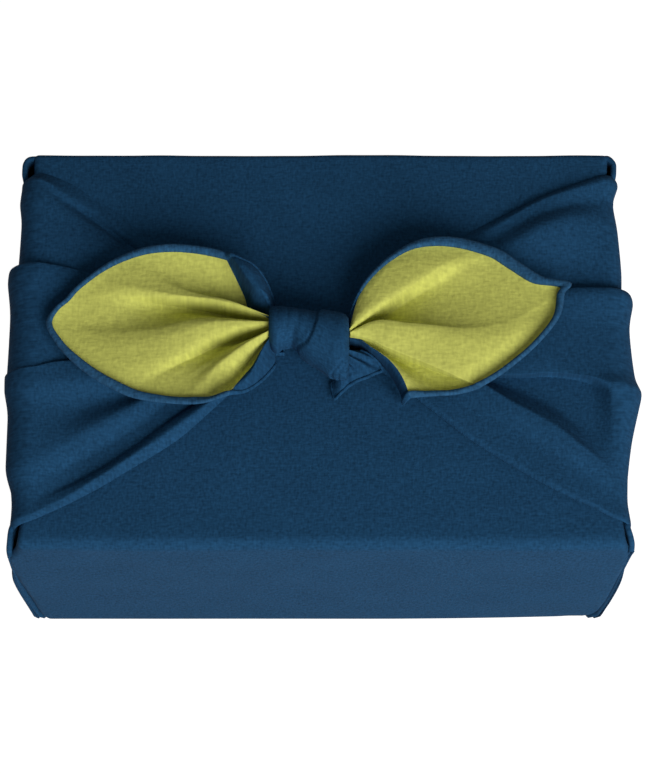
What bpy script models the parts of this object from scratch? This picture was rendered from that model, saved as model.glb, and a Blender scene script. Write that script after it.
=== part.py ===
"""Furoshiki wrap: one square cloth wrapped round a flat box and tied in a knot with two ears.

The cloth is one hollow solid. Its shell keeps the form of the box, an arm of folds runs up each
end and over the top to the knot, and an ear lies out on each side of the knot.
Metres, +Z up, +X to the right of the front view, the front faces -Y.
"""
import math

import bmesh
import bpy
import numpy as np
from mathutils import Matrix, Vector

MM = 0.001

# The wrap's own sizes
WIDTH = 250 * MM
DEPTH = 176 * MM
HEIGHT = 110 * MM
WALL = 1.6 * MM
EDGE_ROUND = 5 * MM
FLOOR_ROUND = 2.5 * MM

CLOTH_BLUE = (0.013, 0.05, 0.095, 1.0)
CLOTH_ROUGHNESS = 0.85

# Arms: where each fold line lies from front (-) to back (+) and how high it stands off the wrap, in
# millimetres, at the knot, at 60 and 95 mm from the middle, at the top edge and at the floor.
ARM_REACH = (22, 60, 95, 125)
ARM_STEPS_ALONG = (2, 6, 3, 4, 6)
ARM_STEPS_ACROSS = 2
ARM_FLOOR_GAP = 0.6 * MM
LEFT_ARM_START = 12 * MM
RIGHT_ARM_START = 2 * MM
LEFT_ARM = [
    # y at:  knot   60    95   edge  floor   height at: knot  60   95  edge floor
    ((-10, -41, -66, -80, -86), (4.0, 1.4, 1.4, 2.2, 1.2)),         # front boundary
    ((-8, -36, -61, -74, -80), (9.0, 4.8, 4.4, 3.4, 2.0)),          # front roll
    ((-5, -28, -55, -67, -70), (7.0, 1.4, 2.0, 3.4, 2.0)),          # long trough
    ((-3, -22, -42, -52, -54), (9.0, 4.6, 5.2, 5.6, 3.4)),          # broad pleat
    ((-1, -17, -27, -31, -34), (7.5, 2.0, 2.8, 5.4, 3.0)),          # soft trough
    ((1, -12, -17, -19, -22), (9.0, 4.6, 5.6, 7.8, 4.0)),           # middle pleat
    ((2, -6, -9, -13, -14), (8.5, 4.2, 5.0, 6.8, 3.4)),             # its lip
    ((3, -4, -6, -10, -11), (7.0, 2.2, 3.0, 5.6, 2.5)),             # behind the lip
    ((5, 6, 12, 14, 16), (9.0, 4.0, 4.2, 5.8, 3.0)),                # flat pleat
    ((6, 20, 28, 31, 31), (8.5, 3.8, 5.0, 8.4, 4.0)),               # back pleat
    ((7, 24, 32, 35, 35), (7.5, 3.2, 4.2, 6.6, 3.0)),               # its lip
    ((7.5, 26, 35, 38, 38), (6.0, 1.4, 1.6, 3.4, 1.8)),             # behind the lip
    ((8, 30, 46, 70, 66), (6.0, 1.2, 1.6, 4.0, 2.0)),               # back panel
    ((9, 36, 56, 75, 76), (5.5, 0.8, 1.0, 2.4, 1.5)),               # crease
    ((10, 42, 62, 77, 81), (6.0, 2.2, 2.4, 2.6, 1.8)),              # back roll
    ((11, 50, 71, 79, 86), (3.0, 0.4, 0.5, 2.0, 1.2)),              # back boundary
]
RIGHT_ARM = [
    ((-10, -42, -65, -80, -86), (4.0, 1.4, 1.4, 1.0, 1.0)),         # front boundary
    ((-8, -38, -60, -74, -80), (9.0, 3.4, 3.0, 1.6, 1.4)),          # broad panel's front
    ((-6, -26, -46, -60, -60), (9.0, 4.4, 4.0, 2.0, 1.8)),          # broad panel
    ((-4, -15, -30, -52, -50), (9.5, 5.2, 5.4, 2.8, 2.4)),          # its ridge
    ((-2, -12, -24, -42, -40), (7.0, 1.6, 1.8, 3.4, 2.4)),          # pocket
    ((-1, -10, -15, -22, -24), (7.0, 1.6, 1.8, 7.4, 3.6)),          # pocket's back
    ((0, -8, -12, -17, -20), (9.0, 4.8, 5.2, 8.4, 4.2)),            # overlap's lip
    ((2, -4, -6, -8, -10), (9.0, 5.0, 5.4, 5.8, 3.4)),              # overlap
    ((4, 6, 8, 8, 8), (9.0, 4.6, 4.6, 5.2, 3.0)),                   # middle panel
    ((6, 14, 19, 20, 20), (9.0, 4.2, 5.0, 7.2, 3.6)),               # back pleat
    ((6.5, 17, 22, 23, 23), (8.0, 3.6, 4.2, 5.4, 2.6)),             # its lip
    ((7, 19, 26, 27, 27), (6.0, 1.4, 1.8, 2.8, 1.8)),               # behind the lip
    ((8, 27, 44, 42, 42), (8.0, 3.4, 4.0, 3.0, 2.0)),               # broad crest
    ((9, 38, 56, 62, 62), (6.0, 1.8, 2.4, 1.4, 1.4)),               # soft trough
    ((10, 46, 64, 76, 81), (6.5, 3.4, 3.4, 2.9, 1.8)),              # back roll
    ((11, 49, 69, 79, 86), (3.0, 0.8, 0.8, 1.0, 1.0)),              # back boundary
]

# Ears and tail: fans of cloth that spread from their root at the knot. A row is the angle from the
# fan's outward direction (positive to the back) in degrees, the reach in millimetres, and the
# height above the top at a fifth, at half and at the whole of the reach, in millimetres.
LEFT_EAR_ROOT = (-20, 4)
LEFT_EAR = [
    # angle reach near  mid  rim
    (88, 12, 14.0, 14.0, 13.0),
    (76, 25, 15.0, 16.0, 15.0),
    (60, 38, 14.0, 15.0, 15.5),
    (45, 51, 12.5, 11.5, 14.5),      # back valley
    (32, 64, 14.5, 13.0, 13.5),
    (22, 75, 17.5, 14.0, 12.5),      # back ridge
    (10, 90, 10.5, 9.5, 11.5),       # deep valley
    (1, 95, 14.0, 10.5, 11.0),
    (-7, 90, 17.5, 12.5, 11.0),      # middle ridge
    (-15, 78, 15.0, 12.0, 11.0),
    (-22, 69, 11.0, 10.0, 11.0),     # front valley
    (-38, 52, 16.0, 14.0, 11.0),     # front ridge
    (-52, 42, 16.0, 13.0, 10.5),
    (-66, 33, 14.5, 13.0, 10.0),
    (-80, 19, 13.5, 12.5, 10.5),
    (-90, 11, 12.5, 12.0, 11.0),
]
RIGHT_EAR_ROOT = (11, -1)
RIGHT_EAR = [
    (86, 8, 14.0, 14.0, 13.0),
    (76, 22, 14.5, 14.5, 14.0),
    (66, 36, 12.0, 12.0, 14.5),      # back valley
    (57, 50, 16.0, 14.0, 14.0),
    (49, 59, 18.5, 15.5, 13.5),      # back ridge
    (40, 67, 13.5, 12.5, 13.0),
    (32, 74, 10.5, 10.0, 12.5),      # deep valley
    (24, 82, 13.0, 10.5, 12.0),
    (15, 93, 15.0, 11.0, 11.5),      # tip
    (8, 90, 15.5, 11.5, 11.0),
    (0, 79, 15.0, 12.0, 11.0),
    (-8, 69, 14.5, 12.0, 10.5),
    (-18, 60, 14.5, 12.5, 10.5),
    (-26, 51, 11.5, 9.5, 9.0),       # front valley
    (-36, 42, 10.5, 9.0, 8.0),
    (-46, 38, 12.0, 10.0, 8.0),      # front corner
    (-55, 29, 12.0, 11.0, 9.5),
    (-66, 12, 12.0, 12.0, 11.0),
]
TAIL_ROOT = (7, -8)
TAIL = [
    (-14, 17, 13.0, 11.5, 8.5),
    (-28, 18, 15.0, 13.0, 8.0),
    (-42, 18, 12.0, 10.0, 6.5),
    (-56, 19, 14.0, 11.0, 5.5),
    (-74, 20, 13.0, 9.5, 4.5),
    (-92, 21, 12.0, 8.0, 4.0),
    (-104, 19, 10.0, 7.0, 4.0),
]
FAN_THICKNESS = 1.5 * MM
FAN_START = 0.08
FAN_STEPS_ACROSS = 2

FANS = [
    # name, side, root, table, steps along
    ("ear_left", -1, LEFT_EAR_ROOT, LEFT_EAR, 9),
    ("ear_right", 1, RIGHT_EAR_ROOT, RIGHT_EAR, 9),
    ("tail", 1, TAIL_ROOT, TAIL, 4),
]

# Knot: a barrel of cloth wound round the two arms, its axis turned to the right ear's front
KNOT_CENTRE = (-5 * MM, -3 * MM, HEIGHT + 12.5 * MM)
KNOT_HALF = (18 * MM, 14 * MM, 13.5 * MM)
KNOT_TURN = math.radians(-20)
KNOT_SQUARENESS = 3.2
KNOT_ROUND_SHARE = 0.12
KNOT_CREASES = [
    # place along the axis (-1 to 1), depth as a share of the radius, width
    (-0.62, 0.10, 0.10),
    (-0.12, 0.09, 0.08),
    (0.58, 0.13, 0.10),
]

# Corner slots: the dark openings where an arm's edge stands off the wrap's corner
SLOT_SIZE = (2.6 * MM, 8 * MM, 16 * MM)
SLOT_LEAN = math.radians(24)
SLOT_INSET = 2 * MM
SLOT_DROP = 3 * MM
SLOTS = [
    # side, y of the middle
    (-1, 82 * MM),
    (1, 83 * MM),
    (-1, -85 * MM),
    (1, -85 * MM),
]

# Shell: where its rows of points lie, in millimetres, closer together at the rounded edges
SHELL_CUTS = (
    (-125, -123, -119, -100, -66, -33, 0, 33, 66, 100, 119, 123, 125),
    (-88, -86, -82, -76, -50, -25, 0, 25, 50, 76, 82, 86, 88),
    (0, 1, 3, 10, 25, 40, 55, 70, 85, 96, 104, 108, 110),
)

# Ends of the wrap: how far the layers under the arm stand off at each place along the depth
END_PLACES = (-88, -85, -78, -60, 0, 60, 78, 83, 88)
LEFT_END = (2.0, 4.6, 2.4, 1.2, 1.2, 1.2, 1.8, 3.6, 1.4)
RIGHT_END = (1.0, 3.0, 1.2, 0.8, 0.8, 0.8, 1.2, 3.0, 1.2)
END_AT_FLOOR = 0.3


def clear_scene():
    for thing in list(bpy.data.objects):
        bpy.data.objects.remove(thing, do_unlink=True)


def new_collection(name):
    collection = bpy.data.collections.new(name)
    bpy.context.scene.collection.children.link(collection)
    return collection


def ease(places, values, at):
    """Value at each place of at, on a smooth line through the table that never overshoots."""
    x = np.asarray(places, float)
    y = np.asarray(values, float)
    step = np.diff(x)
    rise = np.diff(y, axis=0) / step.reshape((-1,) + (1,) * (y.ndim - 1))
    slope = np.zeros_like(y)
    same_way = rise[1:] * rise[:-1] > 0
    total = np.where(same_way, rise[1:] + rise[:-1], 1.0)
    slope[1:-1] = np.where(same_way, 2 * rise[1:] * rise[:-1] / total, 0.0)
    slope[0] = rise[0]
    slope[-1] = rise[-1]
    at = np.clip(np.asarray(at, float), x[0], x[-1])
    k = np.clip(np.searchsorted(x, at, side="right") - 1, 0, len(x) - 2)
    shape = (-1,) + (1,) * (y.ndim - 1)
    h = step[k].reshape(shape)
    t = ((at - x[k]) / step[k]).reshape(shape)
    return (
        (1 + 2 * t) * (1 - t) ** 2 * y[k]
        + t * (1 - t) ** 2 * h * slope[k]
        + t * t * (3 - 2 * t) * y[k + 1]
        + t * t * (t - 1) * h * slope[k + 1]
    )


def grid_faces(rows, columns, start=0):
    """Faces of a grid of points, row after row."""
    faces = []
    for i in range(rows - 1):
        for j in range(columns - 1):
            a = start + i * columns + j
            faces.append((a, a + 1, a + columns + 1, a + columns))
    return faces


def mesh_object(name, points, faces, collection):
    mesh = bpy.data.meshes.new(name)
    mesh.from_pydata([tuple(p) for p in points], [], faces)
    shape = bmesh.new()
    shape.from_mesh(mesh)
    bmesh.ops.recalc_face_normals(shape, faces=shape.faces)
    shape.to_mesh(mesh)
    shape.free()
    mesh.shade_smooth()
    thing = bpy.data.objects.new(name, mesh)
    collection.objects.link(thing)
    return thing


def as_guide(thing):
    thing.hide_render = True
    thing.display_type = "WIRE"
    return thing


def closed_loft(name, upper, lower, collection):
    """A closed solid between two grids of points of the same size."""
    rows, columns = upper.shape[:2]
    count = rows * columns
    points = np.concatenate([upper.reshape(-1, 3), lower.reshape(-1, 3)])
    faces = grid_faces(rows, columns) + [f[::-1] for f in grid_faces(rows, columns, count)]
    rim = [(i, 0) for i in range(rows)]
    rim += [(rows - 1, j) for j in range(1, columns)]
    rim += [(i, columns - 1) for i in range(rows - 2, -1, -1)]
    rim += [(0, j) for j in range(columns - 2, 0, -1)]
    rim = [i * columns + j for i, j in rim]
    for a, b in zip(rim, rim[1:] + rim[:1]):
        faces.append((a, b, b + count, a + count))
    return as_guide(mesh_object(name, points, faces, collection))


def spread(marks, cuts):
    """Places between the marks, each stretch cut in its own number of steps."""
    places = [marks[0]]
    for low, high, number in zip(marks, marks[1:], cuts):
        places += [low + (high - low) * (k + 1) / number for k in range(number)]
    return np.array(places)


def end_stand_off(side, y, z):
    """How far the layers at an end of the wrap stand off its plain face."""
    table = LEFT_END if side < 0 else RIGHT_END
    top_share = END_AT_FLOOR + (1 - END_AT_FLOOR) * z / HEIGHT
    return ease(END_PLACES, table, [y / MM])[0] * MM * top_share


def make_shell(collection):
    """The outer form: a box with rounded edges whose ends are as uneven as the cloth on them."""
    shape = bmesh.new()
    bmesh.ops.create_cube(shape, size=2.0)
    bmesh.ops.subdivide_edges(shape, edges=shape.edges[:], cuts=len(SHELL_CUTS[0]) - 2, use_grid_fill=True)
    even = np.linspace(-1, 1, len(SHELL_CUTS[0]))
    half = Vector((WIDTH / 2, DEPTH / 2, 0))
    for v in shape.verts:
        place = [float(np.interp(v.co[k], even, SHELL_CUTS[k])) * MM for k in range(3)]
        radius = EDGE_ROUND if place[2] > HEIGHT / 2 else FLOOR_ROUND
        inner = Vector((
            max(-half.x + radius, min(half.x - radius, place[0])),
            max(-half.y + radius, min(half.y - radius, place[1])),
            max(radius, min(HEIGHT - radius, place[2])),
        ))
        away = Vector(place) - inner
        if away.length > radius:
            away = away.normalized() * radius
        point = inner + away
        outward = abs(point.x) - (half.x - EDGE_ROUND)
        if outward > 0:
            side = math.copysign(1, point.x)
            share = outward / EDGE_ROUND
            point.x += side * share * end_stand_off(side, point.y, point.z)
        v.co = point
    bmesh.ops.recalc_face_normals(shape, faces=shape.faces)
    mesh = bpy.data.meshes.new("furoshiki_cloth")
    shape.to_mesh(mesh)
    shape.free()
    mesh.shade_smooth()
    shell = bpy.data.objects.new("furoshiki_cloth", mesh)
    collection.objects.link(shell)
    return shell


def make_cavity(collection):
    """The space where the box was."""
    bpy.ops.mesh.primitive_cube_add(size=1.0, location=(0, 0, HEIGHT / 2))
    cavity = bpy.context.object
    cavity.name = "cavity"
    cavity.data.transform(
        Matrix.Diagonal((WIDTH - 2 * WALL, DEPTH - 2 * WALL, HEIGHT - 2 * WALL, 1.0))
    )
    round_off = cavity.modifiers.new("round", "BEVEL")
    round_off.width = EDGE_ROUND - WALL
    round_off.segments = 2
    for old in list(cavity.users_collection):
        old.objects.unlink(cavity)
    collection.objects.link(cavity)
    return as_guide(cavity)


def make_slot(number, side, y, collection):
    """A narrow opening that runs down from the top corner into the space where the box was."""
    bpy.ops.mesh.primitive_cube_add(size=1.0)
    slot = bpy.context.object
    slot.name = f"slot_{number}"
    slot.data.transform(Matrix.Diagonal((*SLOT_SIZE, 1.0)))
    slot.location = (side * (WIDTH / 2 - SLOT_INSET), y, HEIGHT - SLOT_DROP)
    slot.rotation_euler = (0, side * SLOT_LEAN, 0)
    for old in list(slot.users_collection):
        old.objects.unlink(slot)
    collection.objects.link(slot)
    return as_guide(slot)


def end_path(distance):
    """Place and outward direction, across and up, on the way over the top edge and down an end."""
    flat = WIDTH / 2 - EDGE_ROUND
    bend = EDGE_ROUND * math.pi / 2
    if distance <= flat:
        return (distance, HEIGHT), (0.0, 1.0)
    if distance <= flat + bend:
        turn = (distance - flat) / EDGE_ROUND
        out = (math.sin(turn), math.cos(turn))
        middle = (flat, HEIGHT - EDGE_ROUND)
        return (middle[0] + out[0] * EDGE_ROUND, middle[1] + out[1] * EDGE_ROUND), out
    return (WIDTH / 2, HEIGHT - EDGE_ROUND - (distance - flat - bend)), (1.0, 0.0)


def arm_grids(side, table, start):
    """The arm's outer face and a face inside the wall below it, as two grids of points."""
    flat_end = WIDTH / 2 - EDGE_ROUND
    edge = (flat_end + flat_end + EDGE_ROUND * math.pi / 2) / 2
    bend_end = WIDTH / 2 - EDGE_ROUND + EDGE_ROUND * math.pi / 2
    floor = bend_end + HEIGHT - EDGE_ROUND - ARM_FLOOR_GAP
    marks = [reach * MM for reach in ARM_REACH[:-1]] + [edge, floor]
    place_table = np.array([row[0] for row in table], float).T * MM
    height_table = np.array([row[1] for row in table], float).T * MM
    ways = spread([start, marks[0], marks[2], flat_end, bend_end, floor], ARM_STEPS_ALONG)
    between = spread(range(len(table)), [ARM_STEPS_ACROSS] * (len(table) - 1))
    places = ease(marks, place_table, ways)
    heights = ease(marks, height_table, ways)
    upper = np.zeros((len(ways), len(between), 3))
    lower = np.zeros_like(upper)
    for i, way in enumerate(ways):
        (across, up), (out_x, out_z) = end_path(way)
        y = ease(range(len(table)), places[i], between)
        height = ease(range(len(table)), heights[i], between)
        for grid, off in ((upper, height), (lower, np.full_like(height, -WALL / 2))):
            grid[i, :, 0] = side * (across + out_x * off)
            grid[i, :, 1] = y
            grid[i, :, 2] = up + out_z * off
    return upper, lower


def make_arm(name, side, table, start, collection):
    upper, lower = arm_grids(side, table, start)
    return closed_loft(name, upper, lower, collection)


def make_fan(name, side, root, table, steps, collection):
    """A thin sheet of cloth that spreads from its root, with a ray of the table in each row."""
    angles, reaches, near, middle, rim = np.array(table, float).T
    rays = spread(range(len(table)), [FAN_STEPS_ACROSS] * (len(table) - 1))
    index = range(len(table))
    angle = np.radians(ease(index, angles, rays))
    reach = ease(index, reaches, rays) * MM
    marks = (0.0, 0.2, 0.5, 1.0)
    levels = np.stack([ease(index, column, rays) for column in (near, near, middle, rim)])
    shares = np.linspace(FAN_START, 1.0, steps)
    heights = ease(marks, levels, shares) * MM
    grid = np.zeros((steps, len(rays), 3))
    for i, share in enumerate(shares):
        grid[i, :, 0] = root[0] * MM + side * np.cos(angle) * reach * share
        grid[i, :, 1] = root[1] * MM + np.sin(angle) * reach * share
        grid[i, :, 2] = HEIGHT + heights[i]
    under = grid.copy()
    under[:, :, 2] -= FAN_THICKNESS
    return closed_loft(name, grid, under, collection)


def make_knot(collection):
    """The barrel of the knot, with the creases of the cloth wound round it."""
    bpy.ops.mesh.primitive_uv_sphere_add(segments=20, ring_count=16, radius=1.0)
    knot = bpy.context.object
    knot.name = "knot"
    for v in knot.data.vertices:
        along = v.co.z
        ring = Vector((v.co.x, v.co.y))
        turn = math.atan2(ring.y, ring.x)
        square = (1 - min(1.0, abs(along)) ** KNOT_SQUARENESS) ** (1 / KNOT_SQUARENESS)
        fullness = square * (1 - KNOT_ROUND_SHARE) + (1 - along * along) * KNOT_ROUND_SHARE
        for place, depth, width in KNOT_CREASES:
            fullness -= depth * math.exp(-(((along - place) / width) ** 2)) * fullness
        v.co = Vector((along, math.cos(turn) * fullness, math.sin(turn) * fullness))
    knot.data.transform(Matrix.Diagonal((*KNOT_HALF, 1.0)))
    knot.data.shade_smooth()
    knot.rotation_euler = (0, 0, KNOT_TURN)
    knot.location = KNOT_CENTRE
    for old in list(knot.users_collection):
        old.objects.unlink(knot)
    collection.objects.link(knot)
    return as_guide(knot)


def cloth_material():
    material = bpy.data.materials.new("blue_crepe")
    material.use_nodes = True
    shader = material.node_tree.nodes["Principled BSDF"]
    shader.inputs["Base Color"].default_value = CLOTH_BLUE
    shader.inputs["Roughness"].default_value = CLOTH_ROUGHNESS
    shader.inputs["Metallic"].default_value = 0.0
    return material


def join_or_cut(thing, other, operation):
    modifier = thing.modifiers.new(other.name, "BOOLEAN")
    modifier.operation = operation
    modifier.object = other
    modifier.solver = "EXACT"


def main():
    clear_scene()
    parts = new_collection("furoshiki_wrap")
    guides = new_collection("guides")
    cloth = make_shell(parts)
    cloth.data.materials.append(cloth_material())
    join_or_cut(cloth, make_arm("arm_left", -1, LEFT_ARM, LEFT_ARM_START, guides), "UNION")
    join_or_cut(cloth, make_arm("arm_right", 1, RIGHT_ARM, RIGHT_ARM_START, guides), "UNION")
    join_or_cut(cloth, make_knot(guides), "UNION")
    for name, side, root, table, steps in FANS:
        join_or_cut(cloth, make_fan(name, side, root, table, steps, guides), "UNION")
    join_or_cut(cloth, make_cavity(guides), "DIFFERENCE")
    for number, (side, y) in enumerate(SLOTS):
        join_or_cut(cloth, make_slot(number, side, y, guides), "DIFFERENCE")


main()
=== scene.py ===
"""Looks of the furoshiki wrap: the cloth's sheets, folds, knot and ears, with their crepe weave.

Metres, +Z up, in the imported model's frame. Tables are in millimetres. A fold's row says where the
fold line lies, from the front (-) to the back (+), and how high it stands off the wrap.
"""
import math

import bpy
import numpy as np
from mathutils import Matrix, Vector


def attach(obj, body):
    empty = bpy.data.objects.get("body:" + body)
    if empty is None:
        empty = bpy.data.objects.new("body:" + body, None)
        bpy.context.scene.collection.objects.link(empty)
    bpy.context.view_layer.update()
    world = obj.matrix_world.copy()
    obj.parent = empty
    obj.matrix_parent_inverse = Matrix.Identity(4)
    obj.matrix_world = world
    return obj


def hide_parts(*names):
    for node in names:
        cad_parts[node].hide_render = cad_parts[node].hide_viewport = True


MM = 0.001

# The wrap's own sizes
WIDTH = 250 * MM
DEPTH = 176 * MM
HEIGHT = 110 * MM
EDGE_ROUND = 5 * MM
CLOTH = 0.5 * MM
NODE = "furoshiki_cloth"
BODY = "root"

# Camera, from the photograph's proportions
CAMERA_ELEVATION = math.radians(69.5)
CAMERA_DISTANCE = 1088 * MM
CAMERA_TARGET = (0.0, -18.2 * MM, HEIGHT)
CAMERA_LENS = 120.8

# Wrap: the cloth over the front, top and back. Rounding of its long edges, and where its own side
# edges lie: a row for each place on its way round, front floor to back floor.
FRONT_EDGE_ROUND = 4.6
BACK_EDGE_ROUND = 1.8
BACK_FULLNESS = 0.9
FLOOR_EDGE_ROUND = 1.2
SIDE_EDGE_ROUND = 2.4
WRAP_SIDES = [
    # face   place  left    right
    ("front", 0, -124.0, 118.5),
    ("front", 4, -125.2, 121.6),
    ("front", 10, -125.9, 123.2),
    ("front", 30, -127.4, 124.7),
    ("front", 64, -130.0, 126.0),
    ("front", 84, -131.0, 127.2),
    ("front", 92, -130.8, 127.4),
    ("front", 96, -129.0, 127.2),
    ("front", 101, -126.6, 126.4),
    ("front", 106, -125.4, 125.0),
    ("top", -84, -124.7, 124.0),
    ("top", -78, -124.0, 123.3),
    ("top", -60, -123.0, 122.0),
    ("top", 60, -123.0, 122.0),
    ("top", 79, -124.2, 122.6),
    ("top", 85, -124.6, 123.0),
    ("back", 104, -126.0, 125.0),
    ("back", 60, -127.0, 125.5),
    ("back", 0, -124.5, 123.0),
]
WRAP_FLOOR_STEPS = 12
WRAP_FOOT_STEPS = 5
WRAP_FRONT_STEPS = 44
WRAP_FRONT_EDGE_STEPS = 9
WRAP_TOP_STEPS = 80
WRAP_BACK_EDGE_STEPS = 6
WRAP_BACK_STEPS = 30
WRAP_COLUMN_MARKS = (0.0, 0.04, 0.96, 1.0)
WRAP_COLUMN_STEPS = (5, 96, 5)
SIDE_EDGE_POINTS = 7

# Wrap: its dents, and how its front draws in near the floor toward the right
DENT_HEIGHT = 0.32
DENT_SIZE = 13.0
FINE_DENT_HEIGHT = 0.10
FINE_DENT_SIZE = 4.6
FINE_DENT_SHIFT = 31
DENT_FULL_AT = 12.0
PULL_DEPTH = 1.3
PULL_HEIGHT = 26.0
PULL_START = 20
PULL_REACH = 90

# End layers: the cloth round each upright corner and under the arm, from the front to the back.
LEFT_END = [
    # y      x at: rim    60     floor  height of the rim
    (-84.8, -128.6, -129.0, -125.2, 91.5),
    (-87.0, -129.6, -130.2, -126.2, 92.5),
    (-87.6, -130.3, -130.8, -126.8, 94.5),
    (-86.0, -130.5, -131.0, -127.0, 98.0),
    (-83.0, -129.9, -130.4, -126.8, 102.5),
    (-79.0, -128.8, -129.0, -126.2, 107.0),
    (-74.0, -127.4, -127.2, -126.0, 106.5),
    (-60.0, -126.0, -126.0, -125.6, 105.0),
    (0.0, -125.6, -125.6, -125.4, 105.0),
    (60.0, -126.0, -126.0, -125.6, 105.0),
    (72.0, -127.2, -126.8, -125.8, 106.0),
    (77.5, -129.0, -127.6, -125.9, 107.6),
    (81.0, -129.6, -128.0, -126.0, 108.8),
    (84.5, -129.5, -128.2, -126.0, 109.2),
    (87.0, -128.6, -127.8, -125.6, 109.3),
    (88.4, -126.8, -126.4, -124.6, 109.2),
    (88.7, -124.2, -124.0, -123.0, 109.0),
    (87.8, -119.0, -119.0, -119.0, 108.0),
]
RIGHT_END = [
    # y      x at: rim    60     floor  height of the rim
    (-84.8, 126.4, 124.8, 121.0, 97.5),
    (-87.0, 127.6, 126.0, 122.2, 99.0),
    (-87.4, 128.2, 126.6, 122.8, 101.5),
    (-85.6, 128.2, 126.6, 123.0, 104.5),
    (-82.5, 127.4, 126.2, 123.0, 107.5),
    (-79.0, 126.2, 125.6, 123.4, 108.8),
    (-74.0, 125.2, 125.2, 124.2, 107.0),
    (-60.0, 125.0, 125.0, 124.8, 105.0),
    (0.0, 125.0, 125.0, 124.8, 105.0),
    (60.0, 125.0, 125.0, 124.8, 105.0),
    (72.0, 125.6, 125.2, 124.6, 106.0),
    (77.0, 126.0, 125.4, 124.6, 108.4),
    (80.5, 126.6, 125.8, 124.6, 109.4),
    (84.5, 126.8, 126.0, 124.4, 109.6),
    (87.2, 125.6, 125.2, 123.8, 109.6),
    (88.8, 123.2, 123.0, 122.0, 109.4),
    (88.8, 120.6, 120.6, 119.6, 109.2),
    (88.0, 116.0, 116.0, 116.0, 108.6),
]
END_STEPS_ALONG = 7
END_STEPS_DOWN = 44
END_MIDDLE = 60
END_BULGE = 1.5
END_FOOT = 0.2
END_DENT_HEIGHT = 0.12
END_DENT_SIZE = 8.0
RIM_ROUND = 0.7
RIM_TUCKS = (-7.0, -3.0)
RIM_POINTS = 7

# How far the cloth curls in at the floor, at the left (-1) and right (1) end
FOOT_ROUND = {-1: 3.0, 1: 5.0}

# Arms: a row for each fold line. Places at 22, 45, 60, 80, 95 and 110 mm from the middle, at the
# top edge, half way down the end and at the floor. Heights at the arm's own reaches from the
# middle, at the top edge, half way down and at the floor.
ARM_REACH = (22, 45, 60, 80, 95, 110)
LEFT_HEIGHT_REACH = (22, 60, 95)
RIGHT_HEIGHT_REACH = (22, 60, 95, 113)
LEFT_ARM = [
    # places at: 22  45  60  80  95  110  edge  half-way  floor
    # heights at: 22  60  95  edge  half-way  floor
    ((-4.6, -25, -39, -52.8, -62.4, -70.4, -76.5, -86, -86), (1, 0.1, 0.1, 0.6, 5.6, 3)),  # under
    ((-5, -28, -42, -55.5, -65, -73, -79, -88.3, -88.3), (2.2, 1.2, 1.4, 2, 6.8, 3.6)),  # front edge
    ((-4.2, -25, -37.2, -51.6, -61.6, -70.4, -76.5, -84, -84), (3.6, 5.6, 5, 3.9, 5.4, 3)),  # front roll
    ((-3.6, -22, -32.6, -48.4, -58.6, -67, -73.4, -78, -78), (3.4, 3.8, 3.8, 3.8, 4.2, 2.6)),  # back slope
    ((-3.2, -20, -30.2, -46, -56, -63.6, -69.5, -72, -72), (2, 2, 1.8, 3.8, 3.4, 2)),  # long trough
    ((-2.6, -15.6, -23.4, -39.6, -49.4, -58, -64, -66, -66), (2, 1.8, 1.8, 4.2, 3.4, 2)),  # its back
    ((-2, -12.2, -17.5, -29.5, -38, -46, -52, -53, -53), (4, 4.8, 5.8, 6.9, 4.4, 3)),  # broad pleat
    ((-1.4, -11, -15, -21.5, -26.3, -29.5, -31.5, -33, -34), (3.5, 1.9, 2, 6.9, 4.4, 3)),  # soft trough
    ((-0.6, -8.4, -10.6, -13, -15.5, -17, -18.5, -20, -21), (4.5, 4.8, 5.9, 8.8, 5, 3.4)),  # middle pleat
    ((0, -5, -6, -6.5, -7.5, -9.5, -13, -14, -14), (4.5, 4.6, 5.4, 9, 4.6, 2.8)),  # its lip
    ((0.6, -3.8, -4.8, -5.4, -6.6, -8.6, -12, -12, -11), (3.5, 2.2, 2.6, 8.2, 3.6, 2.2)),  # behind the lip
    ((2, 1, 2.6, 6, 9, 11, 12.6, 14, 15), (4.2, 2.4, 2.8, 7.8, 4.2, 2.8)),  # flat pleat
    ((4, 9, 14.6, 21.5, 26, 28.6, 30, 30, 30), (4.5, 3.9, 5.5, 9.4, 5.4, 3.6)),  # back pleat
    ((5, 12.8, 18.6, 25.6, 30.2, 33.7, 35, 35, 35), (3.5, 3.6, 4.8, 8.8, 4.6, 2.8)),  # its lip
    ((5.5, 12.6, 18.4, 25.5, 30.4, 34, 35.7, 36, 36), (3, 2.6, 3.2, 5.4, 3.4, 2)),  # behind the lip
    ((6.4, 17, 24.5, 34, 42, 50, 56, 60, 60), (3.5, 3.8, 5.6, 4.8, 3.2, 2.2)),  # back panel
    ((7.4, 20, 28.6, 40, 51, 60, 67, 70, 70), (3, 2.4, 3.4, 5.8, 3.4, 2.2)),  # down to the crease
    ((8, 22, 31, 43.4, 56, 65.5, 73, 75, 77), (2, 0.1, 0.1, 5.4, 2.4, 1.6)),  # crease
    ((8.8, 24.6, 34.4, 47, 59.4, 68.4, 75.6, 78, 80), (2.4, 1.5, 1.8, 5.2, 2.6, 1.8)),  # behind the crease
    ((10, 33, 44, 56, 67.5, 73.4, 78.4, 81, 84), (1.2, 0.2, 0.2, 3, 1.6, 1.2)),  # faint roll
    ((11, 40, 52, 63, 73.5, 78, 81.4, 83, 86), (-0.6, -0.7, -0.7, -0.4, 0.6, 0.6)),  # back edge
    ((10, 39, 51, 62, 72, 76.5, 79.6, 82, 84), (-1, -1.4, -1.4, -1.2, 0.2, 0.2)),  # under
]
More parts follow.
